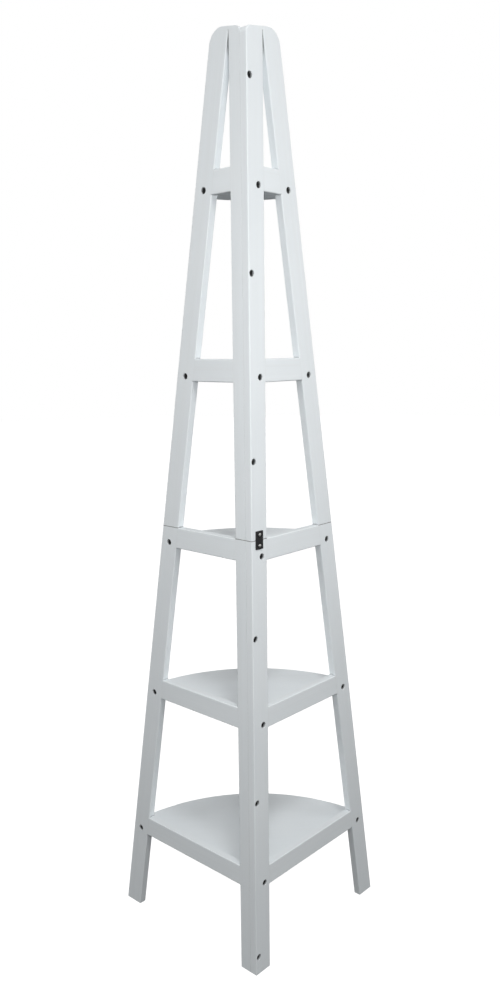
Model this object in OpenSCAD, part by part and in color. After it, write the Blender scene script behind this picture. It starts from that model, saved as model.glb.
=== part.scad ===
// Five-tier corner ladder shelf: two side frames at a right angle, each an upright corner post
// and a leaning leg joined by rails, with quarter-round shelves between them. It comes apart
// into a lower and an upper section. Millimetres, +Z up. The arris that goes into the corner of
// a room is at -X, +Y. Left and right are as seen by someone in the room who faces the corner.

/* [Overall] */
// Height from the floor to the highest point of the side frames
overall_h = 1800; // [1760:5:1810]
// Distance along each wall from the corner to the tip of a foot
foot_reach = 402.5; // [395:0.5:410]
// Distance along each wall from the corner to a leg's outer edge, at overall height
top_reach = 85; // [84:0.5:90]

/* [Boards] */
// Width of the left posts and height of the rails
board_w = 42.5; // [40:0.5:45]
// Width of the leaning legs, square to their edges
leg_w = 43.5; // [42:0.5:46]
// Thickness of posts, legs and rails
board_t = 16; // [15:0.5:18]
// Rounding at the top of each leg's outer corner
leg_round_r = 30; // [20:1:36]
// Rounding at the top of each post's corner
post_round_r = 14; // [6:1:18]

/* [Edges] */
// Rounding of the boards' exposed long edges
ease_r = 2; // [1:0.5:3]
// Rounding of the boards' cut ends and of the edges where two posts meet
end_ease_r = 0.6; // [0.3:0.1:1]
// Rounding of a shelf's curved edge, above and below
shelf_ease_r = 3; // [1:0.5:5]

/* [Tiers] */
// Height of the lowest rails' top edges
first_rail_top = 227; // [215:1:240]
// Spacing of the tiers in the lower section
lower_pitch = 336.5; // [325:0.5:345]
// Spacing of the tiers in the upper section
upper_pitch = 334; // [325:0.5:340]
// Thickness of a shelf panel, which is level with the rails' bottom edges
panel_t = 19; // [16:0.5:20]

/* [Fasteners] */
// Shank diameter of a connector bolt
bolt_d = 6; // [5:0.5:7]
// Shank length of a connector bolt
bolt_l = 25; // [22:1:26]
// Head diameter of a connector bolt
bolt_head_d = 11; // [10:0.5:12]
// Head height of a connector bolt
bolt_head_h = 3.2; // [2.5:0.1:4]
// Width across the flats of the bolt's hexagon socket
socket_w = 4; // [3:0.5:5]
// Depth of the counterbore that a bolt head sits in
counterbore_depth = 5; // [4:0.5:6]
// Outer diameter of a threaded insert
insert_d = 9; // [8:0.5:10]
// Length of a threaded insert
insert_l = 13; // [11:1:14]
// Distance from the corner to the bolts that hold the shelves to the left post
post_bolt_reach = 28; // [27:0.5:30]
// Height of the lowest corner bolt
corner_bolt_1 = 38; // [30:0.5:50]
// Height of the second corner bolt
corner_bolt_2 = 373.5; // [360:0.5:390]
// Height of the third corner bolt, the highest in the lower section
corner_bolt_3 = 709; // [695:0.5:725]
// Height of the fourth corner bolt, the lowest in the upper section
corner_bolt_4 = 1048; // [1035:0.5:1065]
// Height of the fifth corner bolt
corner_bolt_5 = 1383.5; // [1370:0.5:1400]
// Height of the highest corner bolt
corner_bolt_6 = 1712; // [1700:0.5:1725]

/* [Dowels] */
// Diameter of the dowels between the two sections
section_dowel_d = 8; // [6:0.5:8]
// Length of the dowels between the two sections
section_dowel_l = 40; // [30:1:40]
// Diameter of the dowels in the rail ends
rail_dowel_d = 6; // [5:0.5:6]
// Length of the dowels in the rail ends
rail_dowel_l = 25; // [20:1:25]
// Drop from a rail's top edge to its first pair of dowels
first_rail_dowel = 10; // [8:1:11]
// Drop from the first to the second pair of dowels
rail_dowel_pitch = 13; // [10:1:13]

/* [Joint plate] */
// Width of the mending plate across the section joint
plate_w = 19; // [16:1:20]
// Height of the mending plate
plate_h = 35; // [34:1:48]
// Thickness of the mending plate
plate_t = 2; // [1.5:0.1:3]
// Distance from the corner to the middle of the plate
plate_reach = 20; // [18:0.5:26]
// Spacing of the two screws
plate_screw_pitch = 21; // [18:1:26]
// Shank diameter of a plate screw
screw_d = 3.5; // [3:0.5:4]
// Shank length of a plate screw, below the plate
screw_l = 13; // [10:1:14]

/* [Hidden] */
SECTIONS = ["lower", "upper"];
TIERS = 5;
LOWER_TIERS = 3;

paint = [0.90, 0.91, 0.92];
black_steel = [0.06, 0.06, 0.07];
zinc = [0.75, 0.75, 0.73];
bare_wood = [0.80, 0.66, 0.46];

$fn = 48;
slack = 1;            // how far a cutter runs past the face it cuts
clearance = 0.6;      // added to a bolt's diameter for its through hole
screw_head_d = 6.5;
screw_head_h = 1.8;
plate_corner_r = 1;
recess_w = 3.6;         // the cross in a plate screw's head
recess_t = 0.9;
recess_depth = 1.3;
plate_hole_d = screw_d + 0.5;
counterbore_d = bolt_head_d + 1;
rim_ease = 0.4;         // chamfer around a counterbore
round_cross = 0.1;      // how far a post's rounding crosses its edges
arc_over = 2;           // degrees that easing a post's rounding runs past each end of it
socket_depth = 2;
bolt_tip_room = bolt_l - (board_t - counterbore_depth) - insert_l + 2;

lean = atan((foot_reach - top_reach) / overall_h);
leg_run = leg_w / cos(lean);                 // width of a leg measured along the floor
section_z = first_rail_top + (LOWER_TIERS - 1) * lower_pitch;
corner_x = (plate_t + screw_head_h - foot_reach) / 2;
corner_y = foot_reach / 2;

// Centre of the rounding at the top of a leg, as [distance from the corner, height]
round_z = overall_h - leg_round_r;
round_a = reach(round_z) - leg_round_r / cos(lean);
leg_round = [round_a, round_z];

// Height above which the legs touch the posts
wedge_z = (foot_reach - leg_run - board_w) / tan(lean);

// Distance from the corner to a leg's outer and inner edges, at height z
function reach(z) = foot_reach - z * tan(lean);
function leg_inner(z) = reach(z) - leg_run;

// Height of the top cut at distance a from the corner: it is square to the leaning leg
function top_z(a) = round_z + leg_round_r / cos(lean) + (a - round_a) * tan(lean);

// Tiers are counted from 0 at the floor
function rail_top(i) = i < LOWER_TIERS ? first_rail_top + i * lower_pitch
    : section_z + (i - LOWER_TIERS + 1) * upper_pitch;
function panel_top(i) = rail_top(i) - board_w + panel_t;
function shelf_bolt_z(i) = panel_top(i) - panel_t / 2;
function leg_bolt_reach(i) = reach(shelf_bolt_z(i)) - leg_run / 2;
function rail_dowel_zs(i) = [for (k = [0, 1]) rail_top(i) - first_rail_dowel - k * rail_dowel_pitch];

// Tiers, corner bolts and foot of a section
function tiers(section) = section == "lower" ? [0 : LOWER_TIERS - 1] : [LOWER_TIERS : TIERS - 1];
function corner_bolt_zs(section) = section == "lower" ? [corner_bolt_1, corner_bolt_2, corner_bolt_3]
    : [corner_bolt_4, corner_bolt_5, corner_bolt_6];
function section_base(section) = section == "lower" ? 0 : section_z;

// Height ranges of a section where the edges that face the rails are open, between the rails
function open_runs(section) = concat(
    [for (i = tiers(section)) [i == 0 ? 0 : rail_top(i - 1), rail_top(i) - board_w]],
    section == "lower" ? [] : [[rail_top(TIERS - 1), wedge_z]]
);

// Centre of the rounding at the top of a post whose near edge is at distance a0. The rounding
// crosses the two edges that it joins, so it is nearer to them than its radius.
function post_round(a0) = [
    a0 + post_round_r - round_cross,
    top_z(a0 + post_round_r - round_cross) - (post_round_r - round_cross) / cos(lean)
];

// Distance from the corner to the section dowels in the left post, right post and a leg. The
// left post's dowel stands between the corner and the joint plate's screws.
left_post_dowel = section_dowel_d + 2;
right_post_dowel = board_t + section_dowel_d;
leg_dowel = reach(section_z) - leg_run / 2;

// ---- Placing ----------------------------------------------------------------------------
// A side is drawn with x along the wall from the corner, its outer face at y = 0 and the room
// at -y. The left side is the right one mirrored across the corner's diagonal.

module right_side() {
    translate([corner_x, corner_y, 0]) children();
}

module left_side() {
    right_side() mirror([1, 1, 0]) children();
}

module both_sides() {
    left_side() children();
    right_side() children();
}

// Turns a side's outline of [distance from the corner, height] into a board
module board() {
    rotate([90, 0, 0]) linear_extrude(height = board_t) children();
}

// Places children that point along +z so that they point into the room at [a, z]
module into_room(a, z, depth = 0) {
    translate([a, -depth, z]) rotate([90, 0, 0]) children();
}

// ---- Holes ------------------------------------------------------------------------------

module bolt_hole() {
    translate([0, 0, -slack]) cylinder(d = counterbore_d, h = counterbore_depth + slack);
    cylinder(d1 = counterbore_d + 2 * rim_ease, d2 = counterbore_d, h = rim_ease);
    cylinder(d = bolt_d + clearance, h = board_t + slack);
}

module insert_hole() {
    translate([0, 0, -slack]) cylinder(d = insert_d, h = insert_l + slack);
    cylinder(d = bolt_d + clearance, h = insert_l + bolt_tip_room);
}

module section_dowel(a) {
    translate([a, -board_t / 2, section_z - section_dowel_l / 2])
        cylinder(d = section_dowel_d, h = section_dowel_l);
}

// A rail dowel centred on the joint at distance a
module rail_dowel(a, z) {
    translate([a - rail_dowel_l / 2, -board_t / 2, z])
        rotate([0, 90, 0]) cylinder(d = rail_dowel_d, h = rail_dowel_l);
}

// The two dowels at a rail's post end, and at its leg end
module post_rail_dowels(i) {
    for (z = rail_dowel_zs(i)) rail_dowel(board_w, z);
}

module leg_rail_dowels(i) {
    for (z = rail_dowel_zs(i)) rail_dowel(leg_inner(z), z);
}

// ---- Eased edges ------------------------------------------------------------------------
// Outlines are followed anticlockwise, so that the wood is on the left.

// What rounding an edge to radius r takes away from wood at +x, +y
module ease_profile(r) {
    difference() {
        translate([-slack, -slack]) square(r + slack);
        translate([r, r]) circle(r = r);
    }
}

// Radii to round the outer face's edge and the room face's edge to. An edge may be left sharp
// on the room face only.
BOTH_FACES = [ease_r, ease_r];
BOTH_ENDS = [end_ease_r, end_ease_r];
OUTER_FACE = [ease_r, 0];

// The shape that an edge's rounding takes away, on the outer face and on the room face
module ease_profiles(radii) {
    ease_profile(radii[0]);
    if (radii[1] > 0) translate([0, board_t]) mirror([0, 1]) ease_profile(radii[1]);
}

// Places children, drawn in a side's outline, with their origin at p and turned
module in_outline(p, turn = 0) {
    rotate([90, 0, 0]) translate([p[0], p[1], 0]) rotate(turn) children();
}

// Cutter for a straight edge that runs for length l along +x
module ease_run(l, radii) {
    rotate([90, 0, 90]) linear_extrude(height = l) ease_profiles(radii);
}

// Cutter for a rounded corner of radius arc_r about the origin, from angle 0
module ease_arc(arc_r, angle, radii) {
    rotate_extrude(angle = angle) translate([arc_r, 0]) mirror([1, 0]) ease_profiles(radii);
}

// Cutter that eases an outline's straight edge from p to q
module ease(p, q, radii = BOTH_FACES) {
    in_outline(p, atan2(q[1] - p[1], q[0] - p[0])) ease_run(norm(q - p), radii);
}

// Cutter that eases a board's cut end from p to q, with the corners at its two sides
module ease_end(p, q) {
    side = end_ease_r * sqrt(2);
    ease(p, q, BOTH_ENDS);
    for (corner = [p, q]) translate([corner[0], -board_t / 2, corner[1]])
        rotate([0, 45, 0]) cube([side, board_t + 2 * slack, side], center = true);
}

// ---- Posts, legs and rails --------------------------------------------------------------

// Everything under the top cut, outwards from the posts
module below_top_cut() {
    a1 = foot_reach + slack;
    polygon([[board_w, -slack], [a1, -slack], [a1, top_z(a1)], [board_w, top_z(board_w)]]);
}

// What the rounding takes off a leg's top corner, which is square
module leg_top_waste() {
    translate(leg_round) rotate(lean) difference() {
        square(leg_round_r + slack);
        circle(r = leg_round_r);
    }
}

// What the rounding takes off the top corner of a post whose near edge is at distance a0
module post_top_waste(a0) {
    translate(post_round(a0)) difference() {
        polygon(2 * post_round_r * [[0, 0], [-1, 0], [-1, 1], [-sin(lean), cos(lean)]]);
        circle(r = post_round_r);
    }
}

// A post's board from distance a0 to the board width, over one section
module post_board(section, a0) {
    base = section_base(section);
    if (section == "lower") {
        board() translate([a0, base]) square([board_w - a0, section_z]);
    } else {
        board() difference() {
            polygon([[a0, base], [board_w, base], [board_w, top_z(board_w)], [a0, top_z(a0)]]);
            post_top_waste(a0);
        }
    }
}

// Eases a post's two long edges and its ends. The near edge and the top's rounding get radii.
module post_eases(section, a0, radii) {
    base = section_base(section);
    for (run = open_runs(section)) ease([board_w, run[0]], [board_w, run[1]]);
    ease_end([a0, base], [board_w, base]);
    if (section == "lower") {
        ease_end([board_w, section_z], [a0, section_z]);
        ease([a0, section_z], [a0, base], radii);
    } else {
        past = board_w + 2 * slack;
        ease([past, top_z(past)], [a0, top_z(a0)], OUTER_FACE);
        in_outline(post_round(a0), 90 + lean - arc_over)
            ease_arc(post_round_r, 90 - lean + 2 * arc_over, radii);
        ease([a0, top_z(a0)], [a0, base], radii);
    }
}

module post(section, a0, radii) {
    color(paint) difference() {
        post_board(section, a0);
        for (i = tiers(section)) post_rail_dowels(i);
        post_eases(section, a0, radii);
        children();
    }
}

// Full-width post that takes the corner bolts, the shelf bolts and the joint plate
module left_post(section) {
    post(section, 0, [ease_r, end_ease_r]) {
        for (i = tiers(section)) into_room(post_bolt_reach, shelf_bolt_z(i)) bolt_hole();
        for (z = corner_bolt_zs(section)) into_room(board_t / 2, z) bolt_hole();
        section_dowel(left_post_dowel);
        plate_screw_shanks();
    }
}

// Narrower post that butts against the inner face of the left one
module right_post(section) {
    post(section, board_t, BOTH_ENDS) {
        for (z = corner_bolt_zs(section))
            translate([board_t, -board_t / 2, z]) rotate([0, 90, 0]) insert_hole();
        section_dowel(right_post_dowel);
    }
}

// Outline of a leg between two heights
module leg_strip(z0, z1) {
    polygon([[leg_inner(z0), z0], [reach(z0), z0], [reach(z1), z1], [leg_inner(z1), z1]]);
}

module leg_board(section) {
    base = section_base(section);
    if (section == "lower") {
        board() leg_strip(base, section_z);
    } else {
        board() difference() {
            intersection() {
                leg_strip(base, overall_h + leg_w);
                below_top_cut();
            }
            leg_top_waste();
        }
    }
}

module leg_eases(section) {
    base = section_base(section);
    for (run = open_runs(section)) ease([leg_inner(run[1]), run[1]], [leg_inner(run[0]), run[0]]);
    ease_end([leg_inner(base), base], [reach(base), base]);
    if (section == "lower") {
        ease([reach(base), base], [reach(section_z), section_z]);
        ease_end([reach(section_z), section_z], [leg_inner(section_z), section_z]);
    } else {
        run = (round_z - base) / cos(lean) + leg_round_r;
        in_outline(leg_round, lean) {
            translate([leg_round_r, -run]) rotate(90) ease_run(run, BOTH_FACES);
            ease_arc(leg_round_r, 90, BOTH_FACES);
            translate([0, leg_round_r]) rotate(180) ease_run(leg_w, BOTH_FACES);
        }
    }
}

module leg(section) {
    color(paint) difference() {
        leg_board(section);
        leg_eases(section);
        for (i = tiers(section)) {
            into_room(leg_bolt_reach(i), shelf_bolt_z(i)) bolt_hole();
            leg_rail_dowels(i);
        }
        section_dowel(leg_dowel);
    }
}

module rail(i) {
    z0 = rail_top(i) - board_w;
    z1 = rail_top(i);
    color(paint) difference() {
        board() polygon([[board_w, z0], [leg_inner(z0), z0], [leg_inner(z1), z1], [board_w, z1]]);
        ease([board_w, z0], [leg_inner(z0), z0]);
        ease([leg_inner(z1), z1], [board_w, z1]);
        post_rail_dowels(i);
        leg_rail_dowels(i);
    }
}

// ---- Shelves ----------------------------------------------------------------------------

// What easing takes off the bottom of a disc of radius r, standing on z = 0
module disc_ease(r) {
    rotate_extrude($fn = 180) translate([r, 0]) mirror([1, 0]) ease_profile(shelf_ease_r);
}

// Quarter disc about the corner, inside both side frames
module shelf(i) {
    r = reach(panel_top(i));
    color(paint) difference() {
        right_side() intersection() {
            translate([0, 0, panel_top(i) - panel_t]) cylinder(r = r, h = panel_t, $fn = 180);
            translate([board_t, -board_t - r, 0]) cube([r, r, overall_h]);
        }
        right_side() translate([0, 0, panel_top(i) - panel_t]) disc_ease(r);
        right_side() translate([0, 0, panel_top(i)]) mirror([0, 0, 1]) disc_ease(r);
        both_sides() into_room(leg_bolt_reach(i), shelf_bolt_z(i), board_t) insert_hole();
        left_side() into_room(post_bolt_reach, shelf_bolt_z(i), board_t) insert_hole();
    }
}

// ---- Fasteners --------------------------------------------------------------------------

// Puts children at every connector bolt's place, pointing into the room from depth
module at_bolts(depth) {
    for (i = [0 : TIERS - 1]) {
        both_sides() into_room(leg_bolt_reach(i), shelf_bolt_z(i), depth) children();
        left_side() into_room(post_bolt_reach, shelf_bolt_z(i), depth) children();
    }
    for (s = SECTIONS, z = corner_bolt_zs(s)) left_side() into_room(board_t / 2, z, depth) children();
}

// A low round head of diameter d and height h, whose rim is a third as high
module domed_head(d, h) {
    rim = h / 3;
    rise = h - rim;
    ball_r = (d * d / 4 + rise * rise) / (2 * rise);
    mirror([0, 0, 1]) intersection() {
        cylinder(d = d, h = h);
        translate([0, 0, h - ball_r]) sphere(r = ball_r);
    }
}

module connector_bolt() {
    difference() {
        union() {
            domed_head(bolt_head_d, bolt_head_h);
            cylinder(d = bolt_d, h = bolt_l);
        }
        translate([0, 0, -bolt_head_h - slack])
            cylinder(d = socket_w / cos(30), h = socket_depth + slack, $fn = 6);
    }
}

module connector_bolts() {
    color(black_steel) at_bolts(counterbore_depth) connector_bolt();
}

module threaded_inserts() {
    color(zinc) at_bolts(board_t) difference() {
        cylinder(d = insert_d, h = insert_l);
        translate([0, 0, -slack]) cylinder(d = bolt_d, h = insert_l + 2 * slack);
    }
}

module section_dowels() {
    color(bare_wood) {
        both_sides() section_dowel(leg_dowel);
        left_side() section_dowel(left_post_dowel);
        right_side() section_dowel(right_post_dowel);
    }
}

module rail_dowels() {
    color(bare_wood) for (i = [0 : TIERS - 1]) both_sides() {
        post_rail_dowels(i);
        leg_rail_dowels(i);
    }
}

// ---- Joint plate ------------------------------------------------------------------------

// Puts children on the left post's outer face at each plate screw
module at_plate_screws(depth) {
    for (side = [-1, 1]) into_room(plate_reach, section_z + side * plate_screw_pitch / 2, depth) children();
}

module plate_screw_shanks() {
    at_plate_screws(-plate_t) cylinder(d = screw_d, h = plate_t + screw_l);
}

// Rectangle about the origin with rounded corners
module rounded_plate(w, h, r) {
    square([w - 2 * r, h], center = true);
    square([w, h - 2 * r], center = true);
    for (x = [-1, 1], y = [-1, 1]) translate([x * (w / 2 - r), y * (h / 2 - r)]) circle(r = r);
}

module joint_plate() {
    color(black_steel) left_side() difference() {
        into_room(plate_reach, section_z, -plate_t) linear_extrude(height = plate_t)
            rounded_plate(plate_w, plate_h, plate_corner_r);
        at_plate_screws(-plate_t - slack) cylinder(d = plate_hole_d, h = plate_t + 2 * slack);
    }
}

// Cross cut into the top of a plate screw's head
module cross_recess() {
    for (turn = [0, 90]) rotate(turn)
        translate([-recess_w / 2, -recess_t / 2, -screw_head_h - slack])
            cube([recess_w, recess_t, recess_depth + slack]);
}

module plate_screw() {
    difference() {
        union() {
            domed_head(screw_head_d, screw_head_h);
            cylinder(d = screw_d, h = plate_t + screw_l);
        }
        cross_recess();
    }
}

module plate_screws() {
    color(zinc) left_side() at_plate_screws(-plate_t) plate_screw();
}

// ---- Assembly ---------------------------------------------------------------------------

for (s = SECTIONS) {
    left_side() left_post(s);
    right_side() right_post(s);
    left_side() leg(s);
    right_side() leg(s);
}
for (i = [0 : TIERS - 1]) {
    left_side() rail(i);
    right_side() rail(i);
    shelf(i);
}
connector_bolts();
threaded_inserts();
section_dowels();
rail_dowels();
joint_plate();
plate_screws();
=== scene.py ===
import math

import bmesh
import bpy
from mathutils import Matrix, Vector


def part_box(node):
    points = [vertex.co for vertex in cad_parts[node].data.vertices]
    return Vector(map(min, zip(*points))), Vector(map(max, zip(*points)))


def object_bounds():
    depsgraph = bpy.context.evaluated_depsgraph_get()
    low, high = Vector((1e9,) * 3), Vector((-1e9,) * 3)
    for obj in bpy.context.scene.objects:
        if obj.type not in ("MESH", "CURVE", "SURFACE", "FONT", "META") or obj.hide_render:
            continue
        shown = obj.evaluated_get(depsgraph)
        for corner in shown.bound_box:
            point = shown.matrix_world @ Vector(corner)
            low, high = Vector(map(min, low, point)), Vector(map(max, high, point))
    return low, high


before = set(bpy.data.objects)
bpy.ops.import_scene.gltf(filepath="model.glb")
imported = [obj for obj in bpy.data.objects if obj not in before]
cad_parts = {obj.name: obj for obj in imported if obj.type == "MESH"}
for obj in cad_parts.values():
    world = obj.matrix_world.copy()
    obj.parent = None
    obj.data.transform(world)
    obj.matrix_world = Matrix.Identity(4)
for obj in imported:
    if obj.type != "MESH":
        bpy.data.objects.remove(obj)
cad_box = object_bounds()

# The photograph's camera: place in metres, angles in degrees, lens in millimetres
CAMERA_AT = Vector((-1.2811, 1.3860, 1.2590))
CAMERA_HEADING = -47.515
CAMERA_PITCH = 9.908
CAMERA_ROLL = 0.642
CAMERA_LENS = 31.944

# Light from all round: (sine of the angle above the horizon, brightness there), from below to above
SKY = ((-0.25, 0.0), (0.0, 0.74), (0.3, 0.74), (0.45, 0.37))

# Lamps: their diameter and where they are all aimed, and the level light from the room
LAMP_SIZE = 0.5
LAMP_TARGET = Vector((-0.1, 0.1, 0.9))
ROOM_LIGHT = 1.1
ROOM_LIGHT_SPREAD = math.radians(20)

# Floor and dome. The floor lies just below the feet, so that the two faces don't share a plane.
STAGE_GLOW = 1.0
FLOOR_PAPER = 0.25
FLOOR_GAP = 0.0005
DOME_RADIUS = 14.0

# Colours, linear
PAINT = (0.750, 0.792, 0.816)
PAINT_PALE = (0.772, 0.812, 0.834)
PAINT_THIN = (0.690, 0.715, 0.720)
# Painted shade: in holes and slots, and along the seam between the sections
HOLE_SHADE = (0.08, 0.08, 0.08)
SEAM_SHADE = (0.16, 0.16, 0.16)
BLACK_COAT = (0.007, 0.007, 0.008)
BLACK_RUBBED = (0.040, 0.039, 0.038)
ZINC = (0.70, 0.71, 0.70)
ZINC_DULL = (0.50, 0.50, 0.47)
BEECH = (0.56, 0.37, 0.20)
BEECH_DARK = (0.40, 0.24, 0.12)

# How narrow a hole or slot gets painted shade inside, and how far from a seam its painted shade reaches
HOLE_REACH = 0.008
SEAM_REACH = 0.0006

# Tiers from the floor up, and how a material is turned for upright and for diagonal level grain
TIERS = range(1, 6)
UPRIGHT = (0, 0, 0)
DIAGONAL = (0, math.pi / 2, math.pi / 4)


# ---- Camera, studio and lamps -------------------------------------------------------------

def link(name, data):
    """Makes an object and puts it in the scene."""
    made = bpy.data.objects.new(name, data)
    bpy.context.scene.collection.objects.link(made)
    return made


def make_camera():
    """Puts the camera where the photograph was taken from. It looks down by its pitch."""
    heading = math.radians(CAMERA_HEADING)
    pitch = math.radians(CAMERA_PITCH)
    roll = math.radians(CAMERA_ROLL)
    ahead = Vector((math.cos(heading), math.sin(heading), 0))
    forward = math.cos(pitch) * ahead - math.sin(pitch) * Vector((0, 0, 1))
    level = Vector((math.sin(heading), -math.cos(heading), 0))
    down = forward.cross(level)
    right = math.cos(roll) * level + math.sin(roll) * down
    up = math.sin(roll) * level - math.cos(roll) * down
    data = bpy.data.cameras.new("camera")
    data.lens = CAMERA_LENS
    camera = link("camera", data)
    turn = Matrix((right, up, -forward)).transposed().to_4x4()
    camera.matrix_world = Matrix.Translation(CAMERA_AT) @ turn
    bpy.context.scene.camera = camera


def aim(light, direction):
    """Turns a light to shine in a direction."""
    light.rotation_euler = Vector(direction).to_track_quat("-Z", "Y").to_euler()


def lamp(name, at, power):
    """A soft round lamp aimed at the shelf."""
    data = bpy.data.lights.new(name, "AREA")
    data.shape = "DISK"
    data.size = LAMP_SIZE
    data.energy = power
    light = link(name, data)
    light.location = at
    light.visible_camera = False
    aim(light, LAMP_TARGET - Vector(at))


def room_light():
    """Broad level light from the room, for the faces that the photograph doesn't show."""
    data = bpy.data.lights.new("room", "SUN")
    data.energy = ROOM_LIGHT
    data.angle = ROOM_LIGHT_SPREAD
    light = link("room", data)
    light.visible_glossy = False
    aim(light, (-1, 1, 0))


def make_lamps():
    """Lamps on the corner's side, where the photograph is taken from, and light from the room."""
    lamp("key", (-1.325, 0.851, 2.9), 17.4)
    lamp("front", (-1.118, 1.120, 1.3), 9.0)
    lamp("left_fill", (-1.325, -0.449, 1.3), 3.1)
    lamp("right_fill", (0.901, 2.106, 1.5), 4.8)
    room_light()


def make_world():
    """Light from all round except from below, strongest around the horizon."""
    world = bpy.data.worlds.new("studio")
    bpy.context.scene.world = world
    world.use_nodes = True
    nodes = world.node_tree.nodes
    links = world.node_tree.links
    direction = nodes.new("ShaderNodeTexCoord").outputs["Generated"]
    height = nodes.new("ShaderNodeSeparateXYZ")
    links.new(direction, height.inputs[0])
    share = nodes.new("ShaderNodeMapRange")
    share.inputs["From Min"].default_value = -1
    links.new(height.outputs["Z"], share.inputs["Value"])
    shades = nodes.new("ShaderNodeValToRGB")
    links.new(share.outputs["Result"], shades.inputs["Fac"])
    stops = shades.color_ramp.elements
    while len(stops) < len(SKY):
        stops.new(1)
    for stop, (sine, shade) in zip(stops, SKY):
        stop.position = (sine + 1) / 2
        stop.color = (shade, shade, shade, 1)
    links.new(shades.outputs["Color"], nodes["Background"].inputs["Color"])
    nodes["Background"].inputs["Strength"].default_value = 1


def stage_material(name, paper):
    """White that shines by itself, plus a share of matt paper that can take a soft shadow."""
    made = bpy.data.materials.new(name)
    made.use_nodes = True
    surface = made.node_tree.nodes["Principled BSDF"]
    surface.inputs["Base Color"].default_value = (paper, paper, paper, 1)
    surface.inputs["Roughness"].default_value = 1
    surface.inputs["Specular IOR Level"].default_value = 0
    surface.inputs["Emission Color"].default_value = (1, 1, 1, 1)
    surface.inputs["Emission Strength"].default_value = STAGE_GLOW
    return made


def stage_mesh(name, shape, material):
    """Makes part of the studio, which only the camera sees, so that it lights nothing."""
    mesh = bpy.data.meshes.new(name)
    shape.to_mesh(mesh)
    shape.free()
    mesh.materials.append(material)
    made = link(name, mesh)
    made.visible_diffuse = False
    made.visible_glossy = False
    made.visible_shadow = False
    made.visible_transmission = False


def make_stage():
    """A pale floor inside a white dome."""
    floor = bmesh.new()
    bmesh.ops.create_circle(floor, cap_ends=True, segments=96, radius=DOME_RADIUS)
    bmesh.ops.translate(floor, verts=floor.verts, vec=(0, 0, cad_box[0][2] - FLOOR_GAP))
    stage_mesh("floor", floor, stage_material("floor_white", FLOOR_PAPER))
    dome = bmesh.new()
    bmesh.ops.create_icosphere(dome, subdivisions=5, radius=DOME_RADIUS)
    stage_mesh("dome", dome, stage_material("dome_white", 0))


# ---- Materials ----------------------------------------------------------------------------

class Nodes:
    """One material's nodes. An input is given by name, as a value or as the output to link."""

    def __init__(self, name):
        self.material = bpy.data.materials.new(name)
        self.material.use_nodes = True
        self.tree = self.material.node_tree
        self.surface = self.tree.nodes["Principled BSDF"]
        self.place = self.add("ShaderNodeTexCoord").outputs["Object"]

    def set(self, socket, value):
        """Gives an input a value, or links it to an output."""
        if isinstance(value, bpy.types.NodeSocket):
            self.tree.links.new(value, socket)
        else:
            socket.default_value = value

    def add(self, kind, inputs=None, **settings):
        """Makes a node with its settings and its named inputs."""
        node = self.tree.nodes.new(kind)
        for name, value in settings.items():
            setattr(node, name, value)
        for name, value in (inputs or {}).items():
            self.set(node.inputs[name], value)
        return node

    def noise(self, size, turn=(0, 0, 0), seed=0.0, detail=2.0):
        """Noise around 0.5, with features of size (x, y, z) metres along turned axes."""
        inputs = {"Vector": self.place, "Location": (seed, seed, seed), "Rotation": turn, "Scale": size}
        place = self.add("ShaderNodeMapping", inputs, vector_type="TEXTURE")
        inputs = {"Vector": place.outputs["Vector"], "Scale": 1.0, "Detail": detail}
        return self.add("ShaderNodeTexNoise", inputs).outputs["Fac"]

    def spread(self, value, low, high, start=0.3, end=0.7):
        """Carries a value from the range start..end to the range low..high."""
        inputs = {"Value": value, "From Min": start, "From Max": end, "To Min": low, "To Max": high}
        return self.add("ShaderNodeMapRange", inputs).outputs["Result"]

    def times(self, first, second):
        """One value times another."""
        node = self.add("ShaderNodeMath", operation="MULTIPLY")
        self.set(node.inputs[0], first)
        self.set(node.inputs[1], second)
        return node.outputs[0]

    def blend(self, share, first, second):
        """The first colour, with a share of the second."""
        node = self.add("ShaderNodeMix", data_type="RGBA")
        colours = [c for c in node.inputs if c.type == "RGBA"]
        self.set(node.inputs[0], share)
        for socket, colour in zip(colours, (first, second)):
            self.set(socket, colour if isinstance(colour, bpy.types.NodeSocket) else (*colour, 1))
        return next(c for c in node.outputs if c.type == "RGBA")

    def bump(self, height, depth, normal):
        """The normal of a surface that stands out by a height of 0 to 1 times the depth."""
        inputs = {"Height": height, "Distance": depth, "Normal": normal}
        return self.add("ShaderNodeBump", inputs).outputs["Normal"]

    def rounded(self, radius):
        """The surface's normal, turned a little near edges as if they were rounded."""
        return self.add("ShaderNodeBevel", {"Radius": radius}, samples=4).outputs["Normal"]

    def depth(self, reach):
        """0 in the open, and up to 1 deep in holes and slots narrower than the reach: the share of
        painted shade there.
        """
        clear = self.add("ShaderNodeAmbientOcclusion", {"Distance": reach}, samples=8).outputs["AO"]
        return self.spread(clear, 1, 0, start=0.15, end=0.7)

    def near_height(self, height, reach):
        """1 within reach of a height and 0 elsewhere."""
        split = self.add("ShaderNodeSeparateXYZ", {"Vector": self.place})
        node = self.add("ShaderNodeMath", operation="COMPARE")
        self.set(node.inputs[0], split.outputs["Z"])
        self.set(node.inputs[1], height)
        self.set(node.inputs[2], reach)
        return node.outputs[0]

    def edges(self, radius):
        """1 along edges and 0 away from them."""
        flat = self.add("ShaderNodeNewGeometry").outputs["Normal"]
        node = self.add("ShaderNodeVectorMath", operation="DOT_PRODUCT")
        self.set(node.inputs[0], flat)
        self.set(node.inputs[1], self.rounded(radius))
        return self.spread(node.outputs["Value"], 0, 1, start=0.99, end=0.8)

    def finish(self, **inputs):
        """Fills in the shader's inputs and returns the material."""
        for name, value in inputs.items():
            self.set(self.surface.inputs[name.replace("_", " ")], value)
        return self.material


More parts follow.
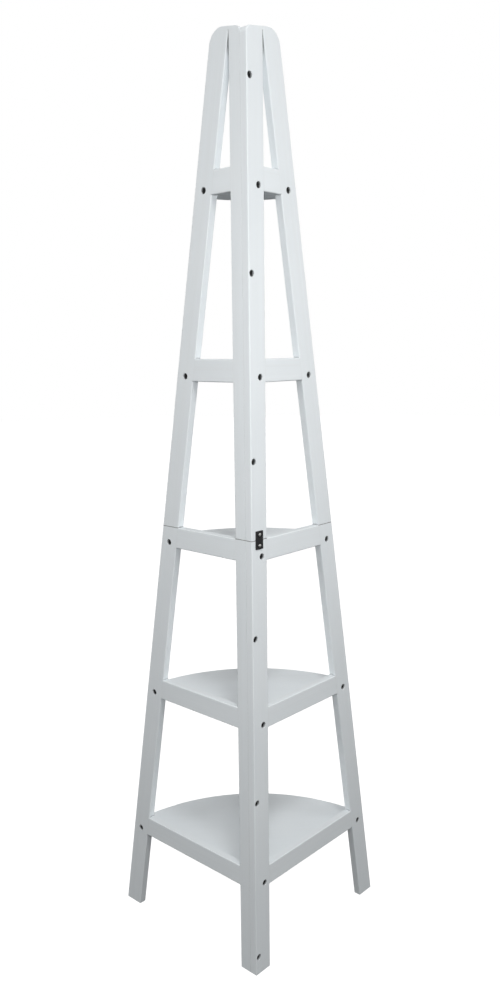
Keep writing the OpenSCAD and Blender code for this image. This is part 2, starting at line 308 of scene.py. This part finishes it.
def painted_wood(name, turn, seed, grain=1.0, seam=None):
    """Satin white paint on wood, with the grain showing faintly and thinner paint on the edges. A
    board that ends at a seam, given by its height, gets painted shade along it and in its holes and
    slots."""
    m = Nodes(name)
    fibres = m.noise((0.0018, 0.0018, 0.16), turn, seed, detail=4)
    figure = m.noise((0.011, 0.011, 0.7), turn, seed + 2.3, detail=2)
    clouds = m.noise((0.07, 0.07, 0.12), turn, seed + 5.1, detail=3)
    stipple = m.noise((0.0009, 0.0009, 0.0009), seed=seed, detail=1)
    patches = m.noise((0.012, 0.012, 0.012), seed=seed + 1.7, detail=3)
    worn = m.times(m.edges(0.003), m.spread(patches, 0.1, 0.7))
    colour = m.blend(m.spread(clouds, 0, 1), PAINT, PAINT_PALE)
    colour = m.blend(m.times(m.spread(fibres, 0, 0.16), grain), colour, PAINT_THIN)
    colour = m.blend(m.times(m.spread(figure, 0, 0.22), grain), colour, PAINT_THIN)
    colour = m.blend(worn, colour, PAINT_THIN)
    if seam is not None:
        # Painted shade in a thin band along the seam between the sections
        colour = m.blend(m.near_height(seam, SEAM_REACH), colour, SEAM_SHADE)
        # Painted shade, darker the more shut in the surface is: in holes, slots and tight corners
        colour = m.blend(m.depth(HOLE_REACH), colour, HOLE_SHADE)
    rough = m.spread(patches, 0.36, 0.50)
    normal = m.rounded(0.0006)
    normal = m.bump(m.times(fibres, grain), 0.00007, normal)
    normal = m.bump(m.times(figure, grain), 0.00016, normal)
    normal = m.bump(stipple, 0.00004, normal)
    return m.finish(Base_Color=colour, Roughness=rough, Normal=normal)


def black_coat(name, seed, grain_size):
    """Black coated steel, rubbed a little brighter on its edges."""
    m = Nodes(name)
    grain = m.noise((grain_size,) * 3, seed=seed, detail=3)
    smears = m.noise((0.004, 0.004, 0.004), seed=seed + 1.3, detail=3)
    rubbed = m.times(m.edges(0.0006), m.spread(smears, 0.2, 0.9))
    colour = m.blend(rubbed, BLACK_COAT, BLACK_RUBBED)
    normal = m.bump(grain, 0.00001, m.rounded(0.0003))
    rough = m.spread(smears, 0.42, 0.60)
    return m.finish(Base_Color=colour, Roughness=rough, Normal=normal)


def bright_zinc(name, seed):
    """Bright zinc plate: fine turning marks, and duller patches."""
    m = Nodes(name)
    marks = m.noise((0.0004, 0.003, 0.0004), seed=seed, detail=3)
    patches = m.noise((0.0025, 0.0025, 0.0025), seed=seed + 0.7, detail=3)
    colour = m.blend(m.spread(patches, 0, 0.7), ZINC, ZINC_DULL)
    normal = m.bump(marks, 0.000012, m.rounded(0.0003))
    rough = m.spread(patches, 0.24, 0.42)
    return m.finish(Base_Color=colour, Metallic=1.0, Roughness=rough, Normal=normal)


def bare_beech(name, turn, seed):
    """Unfinished beech, with long fibres and short dark flecks."""
    m = Nodes(name)
    fibres = m.noise((0.0006, 0.0006, 0.02), turn, seed, detail=4)
    flecks = m.noise((0.0009, 0.0009, 0.004), turn, seed + 1.9, detail=1)
    colour = m.blend(m.spread(fibres, 0, 0.6), BEECH, BEECH_DARK)
    colour = m.blend(m.spread(flecks, 0, 0.7, start=0.62, end=0.72), colour, BEECH_DARK)
    normal = m.bump(fibres, 0.00006, m.rounded(0.0004))
    rough = m.spread(fibres, 0.6, 0.8)
    return m.finish(Base_Color=colour, Roughness=rough, Normal=normal)


# ---- Putting the materials on --------------------------------------------------------------

def coat(node, material):
    """Gives a CAD node's object a material of its own."""
    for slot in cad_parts[node].material_slots:
        slot.link = "OBJECT"
        slot.material = material


def leg_lean():
    """The angle that the legs lean at, from the two sections of one leg."""
    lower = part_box("lower_right_leg")
    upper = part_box("upper_right_leg")
    return math.atan2(lower[1][0] - upper[1][0], upper[0][2] - lower[0][2])


def coat_boards():
    """Paints each board with its grain along its length."""
    lean = leg_lean()
    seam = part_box("lower_left_post")[1][2]
    leg_turns = {"left": (-lean, 0, 0), "right": (0, -lean, 0)}
    rail_turns = {"left": (math.pi / 2, 0, 0), "right": (0, math.pi / 2, 0)}
    seed = 0.0
    for side in ("left", "right"):
        for section in ("lower", "upper"):
            for kind, turn in (("post", UPRIGHT), ("leg", leg_turns[side])):
                node = f"{section}_{side}_{kind}"
                seed += 3.7
                coat(node, painted_wood(f"paint_{node}", turn, seed, seam=seam))
        rails = painted_wood(f"paint_{side}_rails", rail_turns[side], seed + 1.1)
        for tier in TIERS:
            coat(f"{side}_rail_{tier}", rails)
    panels = painted_wood("paint_shelves", DIAGONAL, 41.3, grain=0.4)
    for tier in TIERS:
        coat(f"shelf_{tier}", panels)


def coat_fittings():
    """Bolts, plate, screws, inserts and dowels."""
    coat("connector_bolts", black_coat("black_bolts", 2.1, 0.0005))
    coat("joint_plate", black_coat("black_plate", 5.3, 0.0008))
    coat("plate_screws", bright_zinc("zinc_screws", 1.0))
    coat("threaded_inserts", bright_zinc("zinc_inserts", 7.0))
    coat("section_dowels", bare_beech("beech_upright", UPRIGHT, 3.0))
    coat("rail_dowels", bare_beech("beech_level", DIAGONAL, 9.0))


make_camera()
make_lamps()
make_world()
make_stage()
coat_boards()
coat_fittings()
bpy.context.scene.view_settings.view_transform = "Standard"
